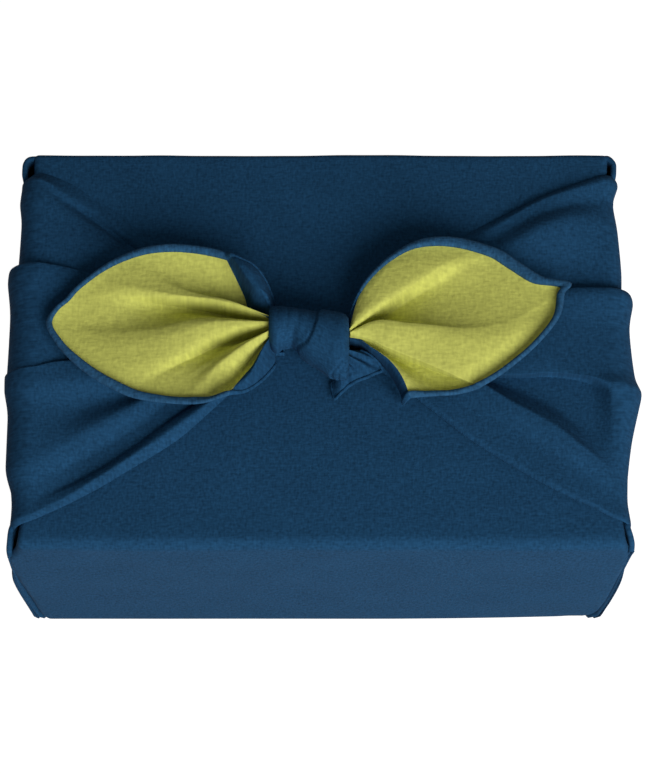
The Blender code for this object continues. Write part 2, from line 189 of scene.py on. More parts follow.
RIGHT_ARM = [
    # places at: 22  45  60  80  95  110  edge  half-way  floor
    # heights at: 22  60  95  113  edge  half-way  floor
    ((-9, -26, -38.5, -51.5, -60.6, -68.2, -75, -86, -86), (1, 0, 0, 0.1, 0.2, 1.4, -1.2)),  # under
    ((-10, -29, -41.5, -55, -64, -71.5, -78, -88.2, -88.2), (2.5, 2.2, 2.2, 2, 1.8, 2.4, -0.6)),  # front
    ((-8, -26.6, -39.2, -52.8, -61.8, -69.6, -76.2, -82, -82), (4.5, 4.6, 4.6, 3.6, 2.4, 1.6, 0.4)),  # roll
    ((-6, -20, -29, -41, -51, -60, -67.4, -68, -68), (4.5, 4.6, 4.6, 3.2, 1.4, 1.3, 1)),  # broad panel
    ((-4.5, -14.5, -19, -32, -41.6, -52.4, -60.5, -58, -56), (4.6, 6, 7.4, 4.6, 1.7, 1.6, 1.4)),  # rise
    ((-4, -12.6, -16, -28.6, -37.6, -48.8, -57.4, -55, -53), (4.8, 6.5, 8, 4.8, 1.9, 1.8, 1.6)),  # ridge
    ((-3.3, -11.8, -14.4, -25, -33, -44.4, -52.6, -51, -49), (4, 4.2, 5.2, 3.2, 2.5, 2, 1.7)),  # its back
    ((-2.5, -11.1, -13.2, -19, -25.6, -36, -42, -40, -38), (2.4, 0.8, 0.6, 1.4, 4.1, 3, 2.2)),  # pocket
    ((-1.5, -10.2, -12.2, -14.6, -14.8, -16.8, -24.5, -23.6, -23.5), (2, 0.1, 0, 1, 8.4, 3.9, 2.6)),  # foot
    ((-1.2, -10, -12.1, -14.3, -13.6, -15.4, -22.5, -22.6, -23), (3, 1.4, 1.8, 3.4, 8.9, 4, 2.6)),  # tuck
    ((-1, -10.2, -12.3, -14.6, -13.8, -15.4, -20, -21.2, -22), (4.6, 5, 5.4, 6.8, 9.2, 4.4, 3)),  # lip
    ((1, -5, -7.5, -10.5, -10.5, -11, -13, -12, -12), (4.6, 5.4, 5.8, 6.4, 6.8, 3.8, 3)),  # overlap
    ((3, 3, 4, 5, 6, 7, 8, 8, 8), (4.5, 5.4, 6.2, 5.8, 5.4, 3.6, 3)),  # middle panel
    ((5, 9, 12, 16, 18.5, 20, 20.5, 20, 20), (4.5, 5.8, 7.2, 7.3, 7.2, 4.2, 3.2)),  # back pleat
    ((6, 12, 16, 20, 23, 24.5, 24.5, 24, 24), (4, 4.8, 6, 6, 5.8, 3.4, 2.4)),  # its lip
    ((6.4, 11.4, 15.4, 19.4, 22.3, 23.8, 24.2, 24.5, 24.5), (3, 1.5, 1.4, 2, 2.4, 1.6, 1.2)),  # behind lip
    ((6.8, 15, 21, 27.5, 33, 35.5, 35, 35, 35), (3.4, 2.6, 2.6, 2.8, 3, 1.8, 1.4)),  # below the crest
    ((7.5, 22, 31, 43, 52, 55.5, 54, 50, 48), (3.8, 6.2, 7.8, 5.4, 2.2, 1.6, 1.4)),  # broad crest
    ((9, 29, 39.5, 53, 61, 65.5, 67, 66, 65), (2, 3, 3.8, 2.4, 0.6, 0.7, 0.6)),  # soft trough
    ((9.6, 33.5, 44, 57.5, 66, 71.6, 75.6, 78, 80), (2.6, 3.4, 3.9, 3.5, 3, 1.6, 1.2)),  # back roll
    ((10.5, 39, 50, 61, 69, 75, 79.5, 83, 86), (1, 0.6, 0.8, 1, 1, 1, 0.8)),  # back edge
    ((10, 38, 48.5, 59.5, 67, 73.5, 78, 82, 84), (0, -0.5, -0.5, -0.3, 0, 0.3, 0.3)),  # under
]
ARM_HALF_WAY = 46
ARM_FLOOR_GAP = 0.6
LEFT_ARM_START = 16
RIGHT_ARM_START = 2
ARM_STEPS_ALONG = (8, 14, 12, 16, 14, 12, 10, 14, 26, 20)
ARM_STEPS_ACROSS = 8
ARM_DENT_HEIGHT = 0.22
ARM_DENT_SIZE = 5.0
ARM_DENT_PER_FOLD = 5.0
ARM_DENT_STRETCH = 0.35
ARM_DENT_FULL_AT = 3.0

# Ears: fans of cloth that spread from a root at the knot. A row is one ray: its angles near the
# root, early, about half way and at the rim, in degrees from the ear's outward direction (+ to
# the back), its reach, its heights above the top at 0.2, 0.45, 0.75 and 0.93 of the reach and at
# the rim, the width of the hem turned over onto it, and which side shows on top. A side's number is
# its place among the fan's materials, where the next one is its underside's.
EAR_MARKS = (0.0, 0.2, 0.45, 0.75, 0.93, 1.0)
EAR_BEND_MARKS = (0.0, 0.08, 0.28, 0.55, 1.0)
GREEN = 0
BLUE = 1
# The hem's slot takes the lighter blue, a painted highlight on the rolled hem.
PAINTED_HIGHLIGHT_HEM = 3
LEFT_EAR_ROOT = (-20, 4)
LEFT_EAR = [
    # angle: near early mid rim  reach heights: .2    .45   .75   .93   rim  hem  side
    ((100, 97, 94, 92), 8, (5.0, 4.6, 4.4, 4.0, 3.8), 0.3, BLUE),
    ((92, 90, 88, 87), 12.5, (10.0, 10.6, 10.6, 10.2, 9.8), 0.3, BLUE),
    ((84, 82, 80, 79), 20, (14.2, 16.4, 16.8, 16.2, 15.6), 0.3, BLUE),
    ((76, 74, 71, 70), 27, (17.0, 20.8, 21.4, 20.6, 19.4), 0.4, BLUE),
    ((68, 66, 63, 62), 31.5, (17.6, 22.6, 23.6, 22.2, 20.4), 0.5, BLUE),
    ((64, 60, 57.5, 58.5), 35, (16.4, 22.0, 22.8, 21.2, 19.2), 1.0, BLUE),
    ((30, 34, 51, 55.5), 38, (2.0, 4.0, 12.6, 16.0, 17.0), 2.4, GREEN),
    ((29, 31.5, 45, 50), 43.5, (2.4, 5.4, 12.2, 15.2, 16.4), 2.6, GREEN),
    ((28.5, 30, 37.5, 44), 50, (4.0, 7.4, 12.0, 14.8, 16.0), 2.7, GREEN),
    ((28, 29, 32, 37.5), 57.8, (8.0, 10.4, 12.2, 14.2, 15.6), 2.5, GREEN),
    ((27.5, 28, 26.5, 30.5), 66, (14.0, 12.8, 12.8, 13.8, 14.8), 1.8, GREEN),
    ((26.5, 26, 22, 23), 73.6, (17.6, 15.4, 13.8, 13.4, 13.8), 1.0, GREEN),
    ((24, 23, 18, 16), 80.6, (17.4, 15.6, 13.8, 12.8, 13.2), 0.6, GREEN),
    ((22, 20.5, 15.4, 11), 85.6, (14.4, 13.8, 12.6, 12.2, 12.8), 0.5, GREEN),
    ((21, 19.3, 13.8, 8), 88, (4.2, 5.8, 11.2, 11.8, 12.6), 0.5, GREEN),
    ((18, 16.5, 10, 5), 92, (4.8, 6.4, 10.4, 11.4, 12.2), 0.5, GREEN),
    ((12, 10.5, 3.5, 1.2), 94.6, (10.6, 10.0, 10.2, 10.9, 11.8), 0.8, GREEN),
    ((7, 5.5, -2, -4), 90.8, (16.0, 14.0, 11.8, 11.0, 11.6), 1.4, GREEN),
    ((2, 0.5, -7, -11), 83.6, (17.6, 15.0, 12.6, 11.0, 11.4), 2.6, GREEN),
    ((-5, -6.5, -13, -17), 77, (16.8, 14.4, 12.6, 11.0, 11.4), 3.0, GREEN),
    ((-9, -10.5, -17.5, -22), 71.5, (14.0, 12.8, 11.9, 10.9, 11.4), 3.2, GREEN),
    ((-11.5, -13, -20, -27), 66.5, (5.0, 7.2, 10.2, 10.8, 11.5), 3.2, GREEN),
    ((-17, -18.5, -24, -32), 60.5, (7.2, 8.2, 10.2, 10.8, 11.6), 3.0, GREEN),
    ((-26, -27, -30, -38), 54, (14.2, 12.2, 10.8, 11.0, 12.0), 2.6, GREEN),
    ((-36, -36, -37, -44), 48.6, (17.8, 15.4, 12.4, 11.6, 12.6), 2.8, GREEN),
    ((-45, -45, -45, -50), 43.5, (16.4, 13.0, 10.6, 11.6, 13.4), 2.0, GREEN),
    ((-52, -52, -52.5, -55), 39, (12.4, 8.0, 9.2, 12.8, 14.8), 1.6, GREEN),
    ((-56, -57, -60, -59), 36, (12.0, 9.6, 13.4, 15.2, 15.0), 0.8, BLUE),
    ((-60, -62, -66, -66), 31, (15.0, 15.6, 14.6, 12.0, 10.4), 0.4, BLUE),
    ((-68, -69, -71, -72), 25.5, (14.6, 14.0, 11.4, 8.6, 7.0), 0.4, BLUE),
    ((-78, -79, -80, -82), 18.5, (11.0, 9.6, 7.4, 5.6, 4.6), 0.4, BLUE),
    ((-92, -92, -92, -92), 13, (7.0, 5.0, 4.0, 3.0, 2.6), 0.3, BLUE),
]
RIGHT_EAR_ROOT = (11, -1)
RIGHT_EAR = [
    # angle: near early mid rim  reach heights: .2    .45   .75   .93   rim  hem  side
    ((96, 95, 94, 92), 6, (10.0, 10.0, 10.0, 10.0, 10.0), 0.3, BLUE),
    ((88, 87, 86, 84), 12, (14.0, 14.4, 14.4, 14.0, 13.6), 0.4, BLUE),
    ((80, 79, 78, 76), 21.5, (16.6, 16.6, 16.2, 15.8, 15.4), 1.4, GREEN),
    ((72, 72, 71, 69), 31, (17.8, 17.4, 16.6, 16.0, 15.8), 2.0, GREEN),
    ((64, 64, 64, 62), 41.6, (18.4, 17.6, 16.6, 15.8, 15.6), 2.4, GREEN),
    ((56, 56, 57, 56), 50.6, (18.6, 17.6, 16.2, 15.2, 15.2), 2.8, GREEN),
    ((49, 49, 50, 50), 57.4, (18.4, 17.4, 15.8, 14.6, 14.8), 3.4, GREEN),
    ((45, 45, 44, 44), 63.2, (17.8, 17.0, 15.4, 14.0, 14.4), 3.6, GREEN),
    ((42.5, 42, 40, 39), 67.5, (16.6, 16.0, 15.0, 13.6, 14.0), 3.5, GREEN),
    ((40.5, 40, 37.5, 35), 71, (10.6, 11.6, 13.6, 13.2, 13.8), 3.5, GREEN),
    ((38.5, 37, 34, 31), 74.6, (6.2, 8.4, 11.6, 12.4, 13.6), 3.4, GREEN),
    ((36, 29, 26, 25), 78.6, (7.6, 9.4, 11.0, 11.9, 13.4), 3.4, GREEN),
    ((33, 20, 15, 18), 85.5, (10.8, 11.4, 11.5, 11.9, 13.3), 3.6, GREEN),
    ((31, 13.5, 7, 14.4), 95.5, (13.8, 13.2, 12.0, 11.7, 13.6), 3.2, GREEN),
    ((30, 10.5, 3.5, 12.6), 92, (17.0, 15.0, 12.5, 11.4, 13.6), 1.7, GREEN),
    ((21, 5.5, -1.5, 7), 88.4, (17.4, 15.4, 12.9, 10.8, 13.4), 1.2, GREEN),
    ((13, 0, -6.5, -1), 79, (17.2, 15.3, 13.0, 10.6, 12.6), 1.0, GREEN),
    ((3, -7, -11.5, -8), 70.5, (16.6, 15.0, 13.0, 10.4, 11.8), 1.0, GREEN),
    ((-5, -13.5, -16, -15), 63.5, (16.0, 14.6, 13.0, 10.6, 11.4), 1.1, GREEN),
    ((-8, -18, -20, -21), 58, (15.2, 14.2, 12.8, 10.8, 11.0), 1.4, GREEN),
    ((-7.6, -17.0, -19.0, -21.6), 57.6, (6.2, 6.4, 7.2, 10.2, 10.8), 1.5, GREEN),
    ((-8.4, -19.4, -22.6, -28), 50.2, (6.7, 6.8, 7.0, 8.6, 10.0), 1.7, GREEN),
    ((-9.6, -22, -26.6, -34.5), 43, (9.0, 9.0, 8.9, 9.3, 10.3), 1.8, GREEN),
    ((-10.5, -24, -30.4, -42), 38, (12.6, 13.4, 13.2, 12.2, 11.8), 1.8, GREEN),
    ((-11, -25, -32, -46), 36, (13.6, 14.2, 14.2, 13.2, 12.0), 1.2, BLUE),
    ((-13, -28.5, -35, -49), 35.6, (13.0, 13.2, 12.8, 11.2, 9.8), 0.8, BLUE),
    ((-14, -30, -36.6, -50), 35, (9.0, 8.4, 7.6, 6.4, 5.4), 0.5, BLUE),
    ((-12, -28, -34.6, -48), 33.5, (4.0, 3.4, 3.0, 2.6, 2.2), 0.3, BLUE),
]
TAIL_ROOT = (6, -7)
TAIL = [
    # angle: near early mid rim  reach heights: .2    .45   .75   .93   rim  hem  side
    ((10, 10, 8, 8), 10, (12.0, 12.0, 11.0, 10.0, 9.6), 0.3, BLUE),
    ((-3, -4, -5, -6), 15.5, (15.4, 14.2, 11.6, 10.0, 9.4), 0.3, BLUE),
    ((-14, -15, -16, -18.5), 20, (13.0, 11.0, 9.0, 7.6, 7.2), 0.3, BLUE),
    ((-26, -27, -27, -28), 17.8, (15.0, 13.4, 11.0, 9.0, 8.0), 0.3, BLUE),
    ((-38, -38, -39, -40), 15.4, (12.4, 10.4, 8.6, 7.2, 6.8), 0.3, BLUE),
    ((-50, -51, -52, -54), 14, (14.6, 12.6, 9.8, 7.6, 6.8), 0.3, BLUE),
    ((-62, -63, -65, -67), 13.8, (12.0, 9.6, 7.6, 6.0, 5.4), 0.3, BLUE),
    ((-74, -75, -77, -79), 15, (13.2, 10.6, 7.6, 5.4, 4.6), 0.3, BLUE),
    ((-82, -83, -85, -87), 16.4, (11.0, 8.4, 5.8, 4.4, 3.8), 0.3, BLUE),
    ((-86, -88, -91, -92.5), 17.9, (9.6, 6.6, 4.2, 3.4, 3.2), 0.3, BLUE),
    ((-90, -92, -96, -98), 14.4, (7.6, 5.0, 3.4, 2.8, 2.4), 0.3, BLUE),
    ((-96, -98, -102, -104), 10.5, (5.0, 3.0, 2.4, 2.0, 1.6), 0.3, BLUE),
]
EAR_START = 0.006
LEFT_ROOT_WIDTH = 4.5
RIGHT_ROOT_WIDTH = 1.5
TAIL_ROOT_WIDTH = 3.0
EAR_STEPS_ALONG = 96
EAR_STEPS_ACROSS = 8
EAR_DENT_HEIGHT = 0.18
EAR_DENT_SIZE = 4.0
EAR_DENT_FULL_AT = 20.0
EAR_HEM = 1.4
TAIL_HEM = 0.5
HEM_STEPS = 10
HEM_TURN = 0.35
HEM_ROLL_LEAST = 0.2
HEM_CLOSING = [
    # inward  share of the roll's height  up
    (0.25, 0.8, 0.0),
    (0.35, 0.0, -0.2),
]

# Knot: a band of cloth wound round the two arms. A row is one cross-section, from left to right:
# its place, the band's back and front, and its top above the wrap.
KNOT_SECTIONS = [
    # x      back   front  top
    (-22.4, 9.0, -1.0, 16.6),
    (-22.3, 11.0, -3.0, 19.8),
    (-21.0, 12.4, -5.6, 22.0),
    (-19.0, 12.3, -7.0, 23.0),
    (-16.4, 11.9, -5.2, 23.6),
    (-13.0, 11.2, -5.0, 24.2),
    (-9.5, 10.8, -8.2, 24.6),
    (-5.0, 10.4, -12.4, 25.0),
    (0.0, 10.1, -16.0, 25.2),
    (6.0, 9.8, -19.5, 24.8),
    (9.2, 9.0, -19.8, 23.4),
    (10.9, 7.0, -17.0, 20.4),
    (11.1, 4.6, -13.0, 17.0),
]
KNOT_FOOT = 1.0
KNOT_SQUARENESS = 2.05
KNOT_LEAN = 0.8
# A crease's row: its places from the back over the top to the front, its depth, its width, and the
# step up from its left to its right.
KNOT_CREASE_MARKS = (0.0, 0.4, 0.75, 1.0)
KNOT_CREASES = [
    # places                  depth width step
    ((-1.2, -3.2, -6.0, -10.6), 0.7, 0.5, 0.9),
    ((-4.6, -6.0, -8.6, -13.0), 0.18, 0.9, 0.0),
    ((-9.6, -10.4, -11.6, -14.0), 0.22, 1.1, -0.2),
    ((-14.0, -14.2, -15.0, -16.6), 0.14, 0.8, 0.12),
    ((-18.4, -18.6, -19.0, -19.8), 0.18, 1.0, 0.0),
    ((13.5, 11.6, 9.2, 3.6), 0.7, 0.5, -0.6),
    ((15.5, 13.2, 10.9, 6.4), 0.5, 0.5, -0.4),
    ((5.4, 4.0, 1.6, -3.0), 0.10, 1.8, 0.0),
]
KNOT_STEP_SHARPNESS = 1.2
KNOT_STEP_REACH = 9
KNOT_STEPS_ALONG = 14
KNOT_STEPS_ROUND = 144
KNOT_RADIUS = 13.0
KNOT_DENT_HEIGHT = 0.16
KNOT_DENT_SIZE = 2.2
KNOT_DENT_ALONG = 1.3
KNOT_DENT_ROUND = 9.0

# Weaves: linear colour, thread scale per metre, contrast, relief, sheen and roughness
WEAVES = {
    # name          colour                    grain   contrast relief sheen roughness
    "blue_crepe": ((0.0135, 0.0610, 0.1360), 1100.0, 0.30, 0.35, 0.008, 0.9),
    # The hem's weave is the same blue cloth painted lighter: a painted highlight where the rolled hem
    # catches the light.
    "blue_hem_painted_highlight": ((0.0230, 0.0850, 0.1750), 1100.0, 0.35, 0.5, 0.02, 0.85),
    "green_crepe": ((0.570, 0.585, 0.130), 750.0, 0.16, 0.55, 0.02, 0.75),
}
THREAD_STRETCH = 0.38
THREAD_HEIGHT = 0.0003
CLOUD_GRAIN = 45.0
CLOUD_SHARE = 0.35
WEAVE_LOW = 0.82
WEAVE_HIGH = 1.52
SHINE = 0.03
SHEEN_ROUGHNESS = 0.5

# Studio: the key light, in degrees, metres and watts, the even light, and the pale floor
KEY_LIGHT = {"azimuth": 28, "elevation": 30, "distance": 1.8, "size": 1.5, "power": 34.5}
EVEN_LIGHT = 0.16
FLOOR_SIZE = 8.0
FLOOR_DROP = 0.0004
FLOOR_GREY = 0.20
FLOOR_GLOW = 0.98


def ease(places, values, at):
    """Value at each place of at, on a smooth line through the table that never overshoots."""
    x = np.asarray(places, float)
    y = np.asarray(values, float)
    step = np.diff(x)
    rise = np.diff(y, axis=0) / step.reshape((-1,) + (1,) * (y.ndim - 1))
    slope = np.zeros_like(y)
    same_way = rise[1:] * rise[:-1] > 0
    total = np.where(same_way, rise[1:] + rise[:-1], 1.0)
    slope[1:-1] = np.where(same_way, 2 * rise[1:] * rise[:-1] / total, 0.0)
    slope[0] = rise[0]
    slope[-1] = rise[-1]
    at = np.clip(np.asarray(at, float), x[0], x[-1])
    k = np.clip(np.searchsorted(x, at, side="right") - 1, 0, len(x) - 2)
    shape = (-1,) + (1,) * (y.ndim - 1)
    h = step[k].reshape(shape)
    t = ((at - x[k]) / step[k]).reshape(shape)
    return (
        (1 + 2 * t) * (1 - t) ** 2 * y[k]
        + t * (1 - t) ** 2 * h * slope[k]
        + t * t * (3 - 2 * t) * y[k + 1]
        + t * t * (t - 1) * h * slope[k + 1]
    )


def spread(marks, cuts):
    """Places between the marks, each stretch cut in its own number of steps."""
    places = [marks[0]]
    for low, high, number in zip(marks, marks[1:], cuts):
        places += [low + (high - low) * (k + 1) / number for k in range(number)]
    return np.array(places, float)


def ripple(a, b, size):
    """A faint unevenness, about 1 at most, of bumps about as far apart as size."""
    p = a / size
    q = b / size
    return (
        np.sin(p * 1.00 + 0.7 * np.sin(q * 0.83 + 1.3))
        + np.sin(q * 1.13 + 0.9 * np.sin(p * 0.71 + 0.4))
        + np.sin((p + q) * 0.61 + 2.1)
    ) / 3


def sheet_piece(name, grid, weave, materials, index=0, flip=False):
    """A sheet of cloth from a grid of points in mm, with its weave's places, in mm, as its UVs."""
    rows, columns = grid.shape[:2]
    numbers = np.arange(rows * columns).reshape(rows, columns)
    quads = np.stack([numbers[:-1, :-1], numbers[:-1, 1:], numbers[1:, 1:], numbers[1:, :-1]], axis=-1)
    quads = quads.reshape(-1, 4)
    if flip:
        quads = quads[:, ::-1]
    mesh = bpy.data.meshes.new(name)
    mesh.from_pydata((grid.reshape(-1, 3) * MM).tolist(), [], quads.tolist())
    shown = np.broadcast_to(index, (rows - 1, columns - 1)).ravel()
    mesh.polygons.foreach_set("material_index", np.ascontiguousarray(shown, dtype=np.int32))
    layer = mesh.uv_layers.new(name="weave")
    corners = np.zeros(len(mesh.loops), dtype=np.int32)
    mesh.loops.foreach_get("vertex_index", corners)
    layer.data.foreach_set("uv", (weave.reshape(-1, 2)[corners] * MM).ravel())
    for material in materials:
        mesh.materials.append(material)
    mesh.shade_smooth()
    mesh.update()
    piece = bpy.data.objects.new(name, mesh)
    bpy.context.scene.collection.objects.link(piece)
    sheet = piece.modifiers.new("thickness", "SOLIDIFY")
    sheet.thickness = CLOTH
    sheet.offset = -1.0
    sheet.material_offset = 1
    sheet.material_offset_rim = 1
    return piece


def wrap_path():
    """The wrap's way round, front floor to back floor: arc length, then y, z and outward direction."""
    half = DEPTH / MM / 2
    back = half + BACK_FULLNESS
    top = HEIGHT / MM
    rows = []

    def straight(start, end, out, number):
        for k in range(number):
            t = k / number
            rows.append((start[0] + (end[0] - start[0]) * t, start[1] + (end[1] - start[1]) * t, *out))

    def corner(middle, radius, start, end, number):
        for k in range(number):
            turn = math.radians(start + (end - start) * k / number)
            out = (math.cos(turn), math.sin(turn))
            rows.append((middle[0] + radius * out[0], middle[1] + radius * out[1], *out))

    foot = FLOOR_EDGE_ROUND
    front_edge = FRONT_EDGE_ROUND
    back_edge = BACK_EDGE_ROUND
    straight((0, 0), (-half + foot, 0), (0, -1), WRAP_FLOOR_STEPS)
    corner((-half + foot, foot), foot, 270, 180, WRAP_FOOT_STEPS)
    straight((-half, foot), (-half, top - front_edge), (-1, 0), WRAP_FRONT_STEPS)
    corner((-half + front_edge, top - front_edge), front_edge, 180, 90, WRAP_FRONT_EDGE_STEPS)
    straight((-half + front_edge, top), (back - back_edge, top), (0, 1), WRAP_TOP_STEPS)
    corner((back - back_edge, top - back_edge), back_edge, 90, 0, WRAP_BACK_EDGE_STEPS)
    straight((back, top - back_edge), (half, foot), (1, 0), WRAP_BACK_STEPS)
    corner((half - foot, foot), foot, 0, -90, WRAP_FOOT_STEPS)
    straight((half - foot, 0), (0, 0), (0, -1), WRAP_FLOOR_STEPS)
    rows.append((0, 0, 0, -1))
    path = np.array(rows)
    steps = np.hypot(np.diff(path[:, 0]), np.diff(path[:, 1]))
    return np.concatenate([[0], np.cumsum(steps)]), path


def make_wrap(blue):
    """The cloth over the front, top, back and bottom, with soft edges and faint dents."""
    arc, path = wrap_path()
    half = DEPTH / MM / 2
    top = HEIGHT / MM
    starts = {"front": half, "top": half + top + half, "back": half + top + 2 * half + top}
    ways = {"front": 1, "top": 1, "back": -1}
    whole = 2 * (2 * half + top)
    marks = [0.0] + [starts[face] + ways[face] * place for face, place, _, _ in WRAP_SIDES] + [whole]
    sides = [WRAP_SIDES[0][2:]] + [row[2:] for row in WRAP_SIDES] + [WRAP_SIDES[-1][2:]]
    left, right = ease(marks, sides, arc * whole / arc[-1]).T
    turns = np.radians(np.linspace(90, 0, SIDE_EDGE_POINTS))
    shares = spread(WRAP_COLUMN_MARKS, WRAP_COLUMN_STEPS)
    insets = SIDE_EDGE_ROUND * (1 - np.cos(turns[::-1]))
    drops = SIDE_EDGE_ROUND * (1 - np.sin(turns[::-1]))
    columns = [(0.0, inset, drop) for inset, drop in zip(insets, drops)]
    columns += [(share, SIDE_EDGE_ROUND * (1 - 2 * share), 0.0) for share in shares[1:-1]]
    columns += [(1.0, -inset, drop) for _, inset, drop in columns[:len(turns)][::-1]]
    dent_share = np.clip(path[:, 1] / DENT_FULL_AT, 0.0, 1.0)
    front_low = np.clip(1 - path[:, 1] / PULL_HEIGHT, 0, 1) * (path[:, 0] < -half / 2)
    grid = np.zeros((len(arc), len(columns), 3))
    weave = np.zeros((len(arc), len(columns), 2))
    for j, (share, inset, drop) in enumerate(columns):
        x = left + (right - left) * share + inset
        dent = DENT_HEIGHT * ripple(x, arc, DENT_SIZE)
        dent = dent + FINE_DENT_HEIGHT * ripple(arc + FINE_DENT_SHIFT, x, FINE_DENT_SIZE)
        pull = PULL_DEPTH * np.clip((x - PULL_START) / PULL_REACH, 0, 1) ** 2 * front_low
        off = dent * dent_share - drop - pull
        grid[:, j, 0] = x
        grid[:, j, 1] = path[:, 0] + path[:, 2] * off
        grid[:, j, 2] = np.maximum(0.0, path[:, 1] + path[:, 3] * off)
        weave[:, j, 0] = x
        weave[:, j, 1] = arc
    return sheet_piece("wrap_cloth", grid, weave, [blue], flip=True)


def make_end_layer(name, table, blue):
    """The sheet round the upright corners and under the arm at an end, its upper rim folded in."""
    rows = np.array(table, float)
    index = range(len(rows))
    at = spread(index, [END_STEPS_ALONG] * (len(rows) - 1))
    y, x_rim, x_mid, x_floor, rim = ease(index, rows, at).T
    side = math.copysign(1.0, x_rim[0])
    run_x = np.gradient(x_rim)
    run_y = np.gradient(y)
    length = np.maximum(np.hypot(run_x, run_y), 1e-6)
    in_x = -side * run_y / length
    in_y = side * run_x / length
    turns = np.radians(np.linspace(180, 0, RIM_POINTS))
    fold = [(2 * RIM_ROUND, up) for up in RIM_TUCKS]
    fold += [(RIM_ROUND - RIM_ROUND * math.cos(turn), RIM_ROUND * math.sin(turn)) for turn in turns]
    down = np.linspace(0.0, 1.0, END_STEPS_DOWN)[1:]
    grid = np.zeros((len(fold) + len(down), len(at), 3))
    weave = np.zeros((len(fold) + len(down), len(at), 2))
    along = np.concatenate([[0], np.cumsum(np.hypot(np.diff(x_rim), np.diff(y)))])
    for i, (inward, up) in enumerate(fold):
        grid[i] = np.stack([x_rim + in_x * inward, y + in_y * inward, rim + up - RIM_ROUND], axis=-1)
        weave[i] = np.stack([along, rim + up], axis=-1)
    for k, share in enumerate(down):
        z = (rim - RIM_ROUND) * (1 - share) + END_FOOT * share
        low = np.clip(z / END_MIDDLE, 0, 1)
        high = np.clip((z - END_MIDDLE) / np.maximum(rim - END_MIDDLE, 1), 0, 1)
        x = x_floor + (x_mid - x_floor) * np.sin(low * math.pi / 2) + (x_rim - x_mid) * high ** END_BULGE
        x = x - side * floor_tuck(z, FOOT_ROUND[side])
        i = len(fold) + k
        grid[i] = np.stack([x + END_DENT_HEIGHT * ripple(y, z, END_DENT_SIZE), y, z], axis=-1)
        weave[i] = np.stack([along, z], axis=-1)
    return sheet_piece(name, grid, weave, [blue], flip=side < 0)


def floor_tuck(z, radius):
    """How far a sheet's foot curls inward at a height above the floor."""
    short = np.clip(1 - np.asarray(z, float) / radius, 0.0, 1.0)
    return radius * (1 - np.sqrt(1 - short * short))


def end_path(distance):
    """Place and outward direction, across and up, on the way over the top edge and down an end."""
    radius = EDGE_ROUND / MM
    half = WIDTH / MM / 2
    top = HEIGHT / MM
    flat = half - radius
    bend = radius * math.pi / 2
    if distance <= flat:
        return (distance, top), (0.0, 1.0)
    if distance <= flat + bend:
        turn = (distance - flat) / radius
        out = (math.sin(turn), math.cos(turn))
        return (flat + out[0] * radius, top - radius + out[1] * radius), out
    return (half, top - radius - (distance - flat - bend)), (1.0, 0.0)


def make_arm(name, side, table, height_reach, start, blue):
    """An arm: its gathered folds run from the knot over the top edge and down the end."""
    radius = EDGE_ROUND / MM
    flat_end = WIDTH / MM / 2 - radius
    bend_end = flat_end + radius * math.pi / 2
    edge = (flat_end + bend_end) / 2
    half_way = bend_end + ARM_HALF_WAY
    floor = bend_end + HEIGHT / MM - radius - ARM_FLOOR_GAP
    place_marks = [*ARM_REACH, edge, half_way, floor]
    height_marks = [*height_reach, edge, half_way, floor]
    place_table = np.array([row[0] for row in table], float).T
    height_table = np.array([row[1] for row in table], float).T
    ways = spread([start, *ARM_REACH, flat_end, bend_end, half_way, floor], ARM_STEPS_ALONG)
    between = spread(range(len(table)), [ARM_STEPS_ACROSS] * (len(table) - 1))
    places = ease(place_marks, place_table, ways)
    heights = ease(height_marks, height_table, ways)
    grid = np.zeros((len(ways), len(between), 3))
    weave = np.zeros((len(ways), len(between), 2))
    for i, way in enumerate(ways):
        (across, up), (out_x, out_z) = end_path(way)
        y = ease(range(len(table)), places[i], between)
        height = ease(range(len(table)), heights[i], between)
        along = np.full_like(y, way)
        dent = ripple(between * ARM_DENT_PER_FOLD, along * ARM_DENT_STRETCH, ARM_DENT_SIZE)
        height = height + ARM_DENT_HEIGHT * dent * np.clip(height / ARM_DENT_FULL_AT, 0.0, 1.0)
        height = height - floor_tuck(up, FOOT_ROUND[side]) * out_x
        grid[i] = np.stack([side * (across + out_x * height), y, up + out_z * height], axis=-1)
        weave[i] = np.stack([along, y], axis=-1)
    return sheet_piece(name, grid, weave, [blue], flip=side > 0)


